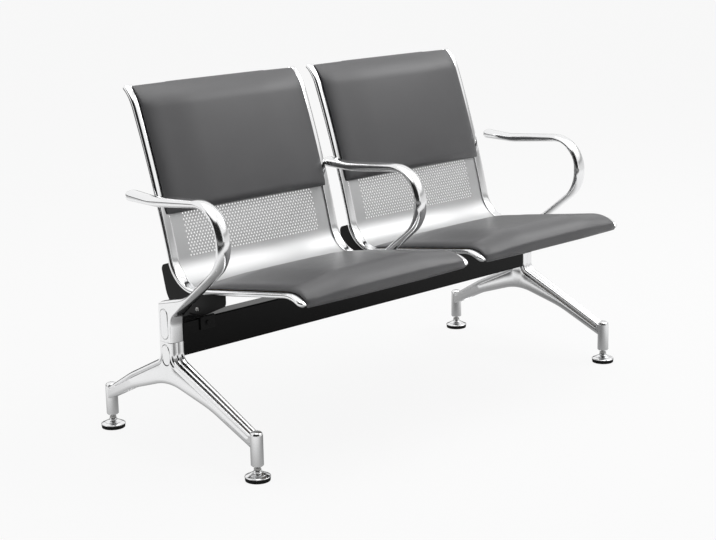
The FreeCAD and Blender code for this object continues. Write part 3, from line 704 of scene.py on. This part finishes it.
def make_legs():
    """Two-footed legs: a thin ridge between two valleys on top, a groove along each side, turned sockets."""
    half = post_width / 2
    ridge_and_valley = [(0, 0.4), (0.8, 0.5), (1.6, 0.9), (2.6, 1.3), (4.5, 1.6), (7.0, 1.6), (9.0, 1.2),
                        (10.6, 0.6), (12.0, 0.1)]
    groove = [(half, 6.2), (half - 1.2, 6.8), (half - 2.6, 8.0), (half - 2.9, 9.2), (half - 1.8, 10.6),
              (half - 0.5, 11.8), (half, 12.8)]
    rings = ridge_and_valley + round_rings(half, edge_roll, 6) + groove
    body = casting("leg_cast", outline(leg_corners(), 4.0), rings, leg_plan, leg_roundness)
    cut_level(body, post_seam_z - 0.6, keep_above=False)
    shifted(body, y=beam_line_y)
    cut_away(body, cover_block("pocket", "cap_lower", pocket=True))
    socket = [(8.0, 52), (7.8, 31.0), (11.5, 31.0), (13.5, 33.0), (13.5, 96)]
    socket += [(5.5 + 8 * math.cos(math.radians(a)), 96 + 8 * math.sin(math.radians(a)))
               for a in (12, 24, 36, 48, 60, 72, 84)]
    socket += [(4.0, 104.1), (2.0, 104.2)]
    ends = [turned("leg_socket", socket, 0, y + beam_line_y) for y in (foot_front_y, foot_rear_y)]
    bpy.ops.object.select_all(action="DESELECT")
    bpy.ops.mesh.primitive_cube_add(size=1, location=(0, beam_line_y * MM, post_seam_z * MM),
                                    scale=((post_width - seam_depth) * MM, (post_depth - seam_depth) * MM, 3 * MM))
    shim = name_piece("seam_shim")
    settle(shim)
    leg = joined("leg_cast", body, shim, *ends)
    for place, sign in (("left", -1), ("right", 1)):
        piece = shifted(turned_out(leg, "leg_" + place + "_casting", sign), sign * arm_x)
        smooth(piece, 32)
        fit(piece, "frame", leg_metal, "bright_casting", "leg_" + place)
    bpy.data.objects.remove(leg)


# Glide feet

foot_dia = 54.0
rubber_height = 8.0


def make_feet():
    """The domed bright cup on its rubber base, turned; the threaded stem and its hexagon stay as they are."""
    edge, low = foot_dia / 2, rubber_height
    cup = [(4.0, low), (edge - 0.6, low), (edge, low + 0.5), (edge, low + 1.4), (edge - 0.5, low + 2.0),
           (edge - 3, low + 3.0), (edge - 9, low + 5.0), (18.5, 13.8), (16.2, 14.8), (14.2, 15.9), (12.0, 16.7),
           (10.2, 17.3), (9.3, 18.2), (9.0, 19.4), (9.0, 21.4), (8.5, 22.0), (5.2, 22.0)]
    base = [(2.0, 0.0), (25.2, 0.0), (25.8, 0.3), (26.0, 0.9), (26.3, 4.0), (26.8, 7.2), (26.6, low - 0.1),
            (4.0, low - 0.1)]
    kinds = (("cup", cup, casting_metal, "chrome"), ("base", base, rubber, "rubber"))
    for row, y in (("front", foot_front_y), ("rear", foot_rear_y)):
        for side, x in (("left", -arm_x), ("right", arm_x)):
            place = row + "_" + side
            for kind, profile, finish, slot in kinds:
                piece = turned("foot_" + kind + "_" + place + "_turned", profile, x, y + beam_line_y, 56)
                smooth(piece, 50)
                fit(piece, "foot_" + place, finish, slot, "foot_" + kind + "_" + place)


# Bright strips along the shells' edges

rim_lip = 25.0
rim_front, rim_round = -6.5, 12.5
rim_bottom, rim_middle = -6.8, -1.8


def on_strip(x, along, rise):
    """A point in millimetres on the shell's line, run on straight past its front edge."""
    index = max(i for i in range(len(begins)) if i == 0 or along >= begins[i] - 1e-9)
    y, z = runs[index].point(along - begins[index])
    turn = runs[index].heading(along - begins[index])
    return Vector((x, y - rise * math.sin(turn), z + rise * math.cos(turn)))


def make_rims():
    """A strip with a crowned lip, a rounded outer wall and a return, its two ends rounded off."""
    section = [(25.0, 0.2), (25.0, 1.7), (24.2, 2.4), (20.0, 2.6), (12.0, 3.1), (6.0, 3.3), (3.2, 2.9), (1.2, 1.6),
               (0.3, -0.2), (0.0, -2.6), (0.2, -5.0), (1.2, -6.3), (3.0, -6.8), (8.0, -6.8), (8.0, -5.2),
               (2.4, -5.0), (2.0, 0.2)]
    last = shell_length + 1.0
    stops = [rim_front + rim_round * (1 - math.cos(math.radians(a))) for a in (4, 16, 28, 42, 58, 74, 90)]
    stops += [stops[-1] + (last - 8 - stops[-1]) * k / 104 for k in range(1, 105)]
    stops += [last - 8 * (1 - math.sin(math.radians(a))) for a in (25, 45, 65, 82)]
    rings = []
    for along in stops:
        front = min(1.0, max(0.0, (along - rim_front) / rim_round))
        rear = min(1.0, max(0.0, (last - along) / 8.0))
        front_roll, rear_roll = math.sqrt(1 - (1 - front) ** 2), math.sqrt(1 - (1 - rear) ** 2)
        width = front_roll * (0.55 + 0.45 * rear_roll)
        thick = (0.45 + 0.55 * front_roll) * (0.5 + 0.5 * rear_roll)
        filled = 1 - ease((along - rim_front - 6) / 8)
        ring = []
        for x, rise in section:
            if filled > 0 and rise < 0.3 and x > 1.5:
                rise += (rim_bottom - rise) * filled * (1.0 if x < 24 else 0.75)
            rise = rim_middle + (rise - rim_middle) * thick
            ring.append(on_strip(rim_lip / 2 + (x - rim_lip / 2) * width, along, rise))
        rings.append(ring)
    strip = loft("strip", rings)
    for seat, center in (("left", -shell_center), ("right", shell_center)):
        for edge, sign in (("left", -1), ("right", 1)):
            node = "rim_" + seat + "_" + edge
            piece = twin(strip, node + "_strip")
            piece.data.transform(Matrix.Diagonal((-sign, 1, 1, 1)))
            if sign > 0:
                piece.data.flip_normals()
            shifted(piece, center + sign * shell_width / 2)
            smooth(piece, 50)
            fit(piece, "frame", chrome, "chrome", node)
    bpy.data.objects.remove(strip)


web_inset = 9.0
web_screw_y, web_screw_z = 36.9, 301.0


def make_web_screws():
    """Button-head screws on the supports' outer faces, just above the beam."""
    head = [(0.5, 0.0), (5.0, 0.0), (4.8, 1.4), (3.8, 2.5), (2.4, 2.9), (2.2, 1.6), (0.4, 1.5)]
    screw = turned("web_screw", head, 0, 0, 24)
    for seat, center in (("left", -shell_center), ("right", shell_center)):
        for edge, sign in (("left", -1), ("right", 1)):
            piece = twin(screw, "support_web_screw_" + seat + "_" + edge)
            piece.data.transform(Matrix.Rotation(math.radians(90 * sign), 4, "Y"))
            shifted(piece, center + sign * (shell_width / 2 - web_inset), web_screw_y, web_screw_z)
            smooth(piece, 40)
            fit(piece, "frame", zinc, "fastener")
    bpy.data.objects.remove(screw)


# Perforated plates

hole_pitch = 8.25
hole_row = 6.6
hole_radius = 2.35
hole_margin = 55.0
smooth_band_start = 352.0
back_field_start = 443.0


def make_plate(name, first, last, field_start, field_end):
    """A flat sheet with staggered round holes and margins; make_plates turns its hems down and bends it onto the
    shell's line.
    """
    rows = 2 * int((field_end - field_start) / hole_row / 2)
    columns = int((shell_width - 2 * hole_margin) / hole_pitch)
    left = -(columns + 0.5) * hole_pitch / 2
    x0, y0 = (left + hole_pitch / 2) * MM, (field_start + hole_row / 2) * MM
    pitch, row = hole_pitch * MM, hole_row * MM
    bpy.ops.mesh.primitive_circle_add(vertices=8, radius=hole_radius * MM, rotation=(0, 0, math.radians(22.5)))
    settle(name_piece(name))
    plate = bpy.context.object
    bpy.ops.object.mode_set(mode="EDIT")
    bpy.ops.mesh.primitive_grid_add(x_subdivisions=2, y_subdivisions=1, size=1)
    bpy.ops.transform.resize(value=(pitch, row, 1))
    bpy.ops.mesh.delete(type="ONLY_FACE")
    select_parts(plate, lambda e, m: abs(m.x) < 1e-7 and abs(m.y) < 1e-7, "edges")
    bpy.ops.mesh.delete(type="EDGE")
    bpy.ops.mesh.select_all(action="SELECT")
    bpy.ops.mesh.bridge_edge_loops()
    bpy.ops.transform.translate(value=(x0, y0, 0))
    bpy.ops.object.mode_set(mode="OBJECT")
    steps = (((pitch / 2, row, 0), 2), ((pitch, 0, 0), columns), ((0, 2 * row, 0), rows // 2))
    for offset, count in steps:
        apply_modifier(plate, "ARRAY", use_relative_offset=False, use_constant_offset=True,
                       constant_offset_displace=offset, count=count, use_merge_vertices=True,
                       use_merge_vertices_cap=False, merge_threshold=0.02 * MM)
    x_left, x_right = left * MM, -left * MM
    for edge, step in ((x_left, -pitch / 2), (x_right, pitch / 2)):
        notch = edge - step
        select_parts(plate, lambda e, m: len(e.link_faces) == 1 and abs(m.x - notch) < 1e-6
                     and abs(e.verts[0].co.x - e.verts[1].co.x) < 1e-7, "edges")
        bpy.ops.mesh.extrude_region_move(TRANSFORM_OT_translate={"value": (step, 0, 0)})
    bpy.ops.mesh.select_all(action="SELECT")
    bpy.ops.mesh.remove_doubles(threshold=0.02 * MM)
    half = (shell_width / 2 - rim_wall - 0.4) * MM
    for edge, goal in ((x_left, -half), (x_right, half)):
        select_parts(plate, lambda v, m: abs(m.x - edge) < 1e-6)
        bpy.ops.mesh.select_mode(type="EDGE")
        bpy.ops.mesh.extrude_region_move(TRANSFORM_OT_translate={"value": (goal - edge, 0, 0)})
    for edge, goal in ((field_start * MM, first * MM), ((field_start + rows * hole_row) * MM, last * MM)):
        count = max(1, round(abs(goal - edge) / (6 * MM)))
        for i in range(count):
            here = edge + (goal - edge) * i / count
            select_parts(plate, lambda v, m: abs(m.y - here) < 1e-6)
            bpy.ops.mesh.select_mode(type="EDGE")
            bpy.ops.mesh.extrude_region_move(TRANSFORM_OT_translate={"value": (0, (goal - edge) / count, 0)})
    bpy.ops.mesh.select_all(action="SELECT")
    bpy.ops.mesh.remove_doubles(threshold=0.02 * MM)
    bpy.ops.mesh.normals_make_consistent(inside=False)
    bpy.ops.object.mode_set(mode="OBJECT")
    if sum(face.normal.z for face in plate.data.polygons) < 0:
        plate.data.flip_normals()
    return plate


def add_hem(plate, at):
    """Turns the plate's end down away from the sitter."""
    only(plate)
    select_parts(plate, lambda v, m: abs(m.y - at * MM) < 1e-6 and abs(m.x) < (shell_width / 2 - 13) * MM)
    bpy.ops.mesh.select_mode(type="EDGE")
    bpy.ops.mesh.extrude_region_move(TRANSFORM_OT_translate={"value": (0, 0, -2 * MM)})
    bpy.ops.mesh.extrude_region_move(TRANSFORM_OT_translate={"value": (0, 0, -(plate_hem - 2) * MM)})
    bpy.ops.object.mode_set(mode="OBJECT")


def make_plates():
    first, last = plate_end_inset, shell_length - plate_end_inset
    split = smooth_band_start - 12
    seat = make_plate("seat_plate", first, split, 40.0, 322.0)
    add_hem(seat, first)
    back = make_plate("back_plate", split, last, back_field_start, 790.0)
    add_hem(back, last)
    for plate in (seat, back):
        lay_on_shell(plate)
        apply_modifier(plate, "SOLIDIFY", thickness=plate_thickness * MM, offset=-1.0)
        smooth(plate, 35)
        for side, shift in (("left", -shell_center), ("right", shell_center)):
            piece = twin(plate, plate.name + "_" + side)
            piece.data.transform(Matrix.Translation((shift * MM, 0, 0)))
            fit(piece, "frame", plate_paint, "silver_plate", "shell_" + side)
        bpy.data.objects.remove(plate)


# Upholstery

def ease(value):
    value = min(1.0, max(0.0, value))
    return value * value * (3 - 2 * value)


def roll(distance, radius):
    """A quarter-round rise from 0 at an edge to 1."""
    return math.sqrt(max(0.0, 1 - (1 - min(1.0, max(0.0, distance / radius))) ** 2))


pad_half = shell_width / 2 - 16.5
board_half = shell_width / 2 - 25.0


def seat_top(side, along):
    """Height of the seat pad's upper face above the shell, from the distance to its side and its place along."""
    middle = 11.0 + 17.0 * roll(along + 9, 52) - 12.5 * ease((along - 250) / 100)
    if along < 2:
        middle *= 0.3 + 0.7 * roll(along + 11.5, 12)
    if along > 330:
        middle = 5.0 + (middle - 5.0) * roll(352 - along, 22)
    return 5.2 + (middle - 5.2) * (0.42 * roll(side + 1, 26) + 0.58 * ease(side / 140))


def back_top(side, along):
    middle = 25.5 - 15.0 * ease((along - 770) / 62)
    middle = 4.0 + (middle - 4.0) * roll(along - 540, 17) * roll(832 - along, 14)
    return 5.0 + max(0.0, middle - 5.0) * (0.55 * roll(side + 1, 40) + 0.45 * ease(side / 130))


def pad_floor(side, along, first_board, last_board):
    """The pad wraps round its board: on the strips at its sides, on the plate past the board's ends."""
    if side < pad_half - board_half - 0.4:
        return 3.3
    if first_board - 1 < along < last_board + 1:
        return 6.3
    return 0.7


def pad_block(name, first, last, boards, top):
    """A flat block with its upper face crowned, modelled over the shell's length; make_pads bends it onto the shell.
    """
    length = last - first
    bpy.ops.object.select_all(action="DESELECT")
    bpy.ops.mesh.primitive_cube_add(size=2)
    block = name_piece(name)
    bpy.ops.object.mode_set(mode="EDIT")
    bpy.ops.mesh.select_all(action="SELECT")
    bpy.ops.mesh.subdivide(number_cuts=79)
    bpy.ops.object.mode_set(mode="OBJECT")
    for vertex in block.data.vertices:
        u, v, share = vertex.co.x, vertex.co.y, (vertex.co.z + 1) / 2
        x = pad_half * (0.35 * u + 0.65 * math.sin(u * math.pi / 2))
        along = first + length / 2 * (1 + 0.5 * v + 0.5 * math.sin(v * math.pi / 2))
        side = pad_half - abs(x)
        low = pad_floor(side, along, *boards)
        high = max(low + 1.5, top(side, along))
        if abs(u) > 0.999:
            x += math.copysign(math.sin(math.pi * share) * 1.0, x)
        vertex.co = Vector((x, along, low + share * (high - low))) * MM
    return block


pad_voxel = 4.0
pad_pressure = 2.0
pad_swell = 2.0
seam_margin = 9.0
cloth_steps = 20


def inflate(pad, pressure, swell, hold):
    """Blows a remeshed pad up as cloth, its side seams held, and takes as much of that as swell allows."""
    only(pad)
    pad.data.remesh_voxel_size = pad_voxel * MM
    bpy.ops.object.voxel_remesh()
    group = pad.vertex_groups.new(name="held")
    for vertex in pad.data.vertices:
        if hold(vertex.co):
            group.add([vertex.index], 1.0, "REPLACE")
    before = [vertex.co.copy() for vertex in pad.data.vertices]
    cloth = pad.modifiers.new("cloth", "CLOTH")
    cloth.settings.vertex_group_mass = "held"
    cloth.settings.use_pressure = True
    cloth.settings.uniform_pressure_force = pressure
    cloth.settings.effector_weights.gravity = 0.0
    cloth.settings.quality = 5
    cloth.settings.tension_stiffness = 15
    cloth.settings.bending_stiffness = 12.0
    cloth.point_cache.frame_start, cloth.point_cache.frame_end = 1, cloth_steps
    for step in range(1, cloth_steps + 1):
        bpy.context.scene.frame_set(step)
    only(pad)
    bpy.ops.object.modifier_apply(modifier=cloth.name)
    bpy.context.scene.frame_set(1)
    most = max((vertex.co - rest).length for vertex, rest in zip(pad.data.vertices, before))
    share = min(1.0, swell * MM / max(most, 1e-6))
    for vertex, rest in zip(pad.data.vertices, before):
        vertex.co = rest + (vertex.co - rest) * share
    apply_modifier(pad, "SMOOTH", factor=0.5, iterations=6)
    apply_modifier(pad, "SUBSURF", levels=1, render_levels=1)
    only(pad)
    bpy.ops.object.shade_smooth()


def make_pads():
    plans = (("seat_pad", -10.5, 351.5, (18.0, 340.0), seat_top),
             ("back_pad", 540.5, 831.5, (552.0, 825.0), back_top))
    for kind, first, last, boards, top in plans:
        pad = pad_block(kind, first, last, boards, top)
        lay_on_shell(pad)
        inflate(pad, pad_pressure, pad_swell, lambda co: abs(co.x) > (pad_half - seam_margin) * MM)
        for side, shift in (("left", -shell_center), ("right", shell_center)):
            piece = shifted(twin(pad, kind + "_" + side + "_upholstery"), shift)
            fit(piece, "frame", leather, "leather", kind + "_" + side)
        bpy.data.objects.remove(pad)


# Studio

def make_floor():
    """White paper that keeps a soft shadow for the camera; in reflections it shows painted shade, darker under the
    bench, and a painted dark reflection ahead of it towards the camera.
    """
    bpy.ops.object.select_all(action="DESELECT")
    bpy.ops.mesh.primitive_plane_add(size=40, location=(0, 0, 0))
    floor = name_piece("floor")
    paper = Finish("white_paper", Roughness=0.9)
    paper.feed(Base_Color=paper.mixed(paper.noise(3.0), grey(0.84), grey(0.86)))
    away = paper.add("ShaderNodeVectorMath", {"operation": "LENGTH"}, {0: paper.place()}, 1)
    ahead = paper.add("ShaderNodeVectorMath", {"operation": "DOT_PRODUCT"},
                      {0: paper.place(), 1: (-0.69, -0.72, 0)}, 1)
    # Painted shade: in reflections the floor turns darker close to the bench, where its shadow falls.
    painted_shade_near_bench = paper.ramp(away * 0.4, [(0.12, grey(0.22)), (0.26, grey(0.42)), (0.42, grey(0.95)), (1.0, grey(1.0))])
    # Painted dark reflection: ahead of the bench, towards the camera, the floor shows nearly black in reflections.
    shown = paper.mixed(paper.ramp(ahead * 0.4, [(0.52, grey(0)), (0.70, grey(1))]), painted_shade_near_bench, grey(0.03))
    path = paper.tree.nodes.new("ShaderNodeLightPath")
    mirrored = Wire(paper, path.outputs["Is Glossy Ray"]) + Wire(paper, path.outputs["Is Transmission Ray"])
    seen = Wire(paper, path.outputs["Is Camera Ray"]) * 0.9 + mirrored
    # Glossy and transmission rays see this painted tone instead of the lit paper.
    glow = paper.add("ShaderNodeEmission", None, {"Color": paper.mixed(mirrored, grey(1.0), shown), "Strength": 1.0})
    mix = paper.tree.nodes.new("ShaderNodeMixShader")
    paper.put(mix.inputs[0], seen)
    paper.tree.links.new(paper.shader.outputs[0], mix.inputs[1])
    paper.tree.links.new(glow.socket, mix.inputs[2])
    paper.show(Wire(paper, mix.outputs[0]))
    floor.data.materials.append(paper.material)


def angle_round(place, first, last):
    """A place's angle round the studio, counted on past 360 degrees for a wall that goes past it."""
    angle = math.degrees(math.atan2(place.y, place.x)) % 360
    return angle + 360 if last > 360 and angle < first - 1e-3 else angle


def make_walls():
    """Glowing walls round the studio, seen only in reflections, carrying painted bands of light and shade by height:
    name, radius, first and last angle, height, shades.
    """
    plans = (("wall_left", 4.4, 165, 282, 6.5,
              [(0.0, 0.5), (0.05, 0.2), (0.10, 0.02), (0.78, 0.015), (0.92, 0.3), (1.0, 0.9)]),
             ("wall_right", 4.4, 290, 380, 2.0,
              [(0.0, 0.85), (0.3, 0.8), (0.55, 0.72), (0.72, 0.4), (0.88, 0.5), (1.0, 0.9)]),
             ("wall_back", 3.4, 20, 150, 0.9, [(0.0, 0.6), (0.2, 0.06), (0.75, 0.10), (1.0, 0.8)]))
    for name, radius, first, last, high, shades in plans:
        bpy.ops.object.select_all(action="DESELECT")
        bpy.ops.mesh.primitive_circle_add(vertices=120, radius=radius)
        wall = name_piece(name)
        select_parts(wall, lambda v, m: not first <= angle_round(m, first, last) <= last)
        bpy.ops.mesh.delete(type="VERT")
        bpy.ops.mesh.select_all(action="SELECT")
        bpy.ops.mesh.extrude_region_move(TRANSFORM_OT_translate={"value": (0, 0, high)})
        bpy.ops.object.mode_set(mode="OBJECT")
        # cloth is the wall's glowing finish: painted bands of light and shade by height, a painted reflection and not
        # a lamp.
        cloth = Finish(name)
        height = cloth.add("ShaderNodeSeparateXYZ", None, {"Vector": cloth.place()}, 2)
        tone = cloth.ramp(height * (1 / high), [(place, grey(shade)) for place, shade in shades])
        glow = cloth.add("ShaderNodeEmission", None, {"Color": tone})
        cloth.show(glow)
        wall.data.materials.append(cloth.material)
        wall.visible_camera = wall.visible_shadow = wall.visible_diffuse = wall.visible_transmission = False


sky_light = 0.35


def make_sky():
    """Soft light all round, and plain white to the camera and in reflections."""
    world = bpy.data.worlds.new("studio")
    bpy.context.scene.world = world
    world.use_nodes = True
    tree = world.node_tree
    tree.nodes.clear()
    output = tree.nodes.new("ShaderNodeOutputWorld")
    path = tree.nodes.new("ShaderNodeLightPath")
    soft = tree.nodes.new("ShaderNodeBackground")
    soft.inputs[0].default_value, soft.inputs[1].default_value = grey(1.0), sky_light
    white = tree.nodes.new("ShaderNodeBackground")
    white.inputs[0].default_value, white.inputs[1].default_value = grey(1.0), 1.0
    seen = tree.nodes.new("ShaderNodeMath")
    seen.operation = "ADD"
    both = tree.nodes.new("ShaderNodeMath")
    both.operation, both.use_clamp = "ADD", True
    tree.links.new(path.outputs["Is Camera Ray"], seen.inputs[0])
    tree.links.new(path.outputs["Is Glossy Ray"], seen.inputs[1])
    tree.links.new(seen.outputs[0], both.inputs[0])
    tree.links.new(path.outputs["Is Transmission Ray"], both.inputs[1])
    mix = tree.nodes.new("ShaderNodeMixShader")
    tree.links.new(both.outputs[0], mix.inputs[0])
    tree.links.new(soft.outputs[0], mix.inputs[1])
    tree.links.new(white.outputs[0], mix.inputs[2])
    tree.links.new(mix.outputs[0], output.inputs[0])


def add_lamp(name, place, target, size, power):
    bpy.ops.object.light_add(type="AREA", location=place)
    lamp = bpy.context.object
    lamp.name = name
    lamp.data.shape = "RECTANGLE"
    lamp.data.size, lamp.data.size_y = size
    lamp.data.energy = power
    direction = Vector(target) - Vector(place)
    lamp.rotation_euler = direction.to_track_quat("-Z", "Y").to_euler()


def make_lamps():
    add_lamp("top_softbox", (0.2, -0.2, 3.3), (0, 0, 0.4), (3.0, 2.0), 34)
    add_lamp("key_softbox", (2.6, -1.2, 2.9), (0, 0, 0.5), (2.8, 1.6), 38)


def make_camera():
    """The camera stands where the photograph was taken from."""
    yaw, pitch, roll = 0.766986, 0.229486, -0.020338
    ahead = Vector((math.sin(yaw) * math.cos(pitch), math.cos(yaw) * math.cos(pitch), -math.sin(pitch)))
    right = Vector((math.cos(yaw), -math.sin(yaw), 0))
    up = right.cross(ahead)
    right, up = (right * math.cos(roll) + up * math.sin(roll), up * math.cos(roll) - right * math.sin(roll))
    bpy.ops.object.camera_add(location=(-2.540246, -2.614930 + beam_line_y * MM, 1.147596))
    camera = bpy.context.object
    turn = Matrix((right, up, -ahead)).transposed()
    camera.rotation_euler = turn.to_euler()
    camera.data.sensor_width = 36.0
    camera.data.lens = 1597.36 / 716 * 36
    bpy.context.scene.camera = camera


make_camera()
dress_solids()
make_arms()
make_legs()
make_feet()
make_covers()
make_rims()
make_web_screws()
make_plates()
make_pads()
make_floor()
make_walls()
make_sky()
make_lamps()
bpy.context.scene.view_settings.view_transform = "Standard"
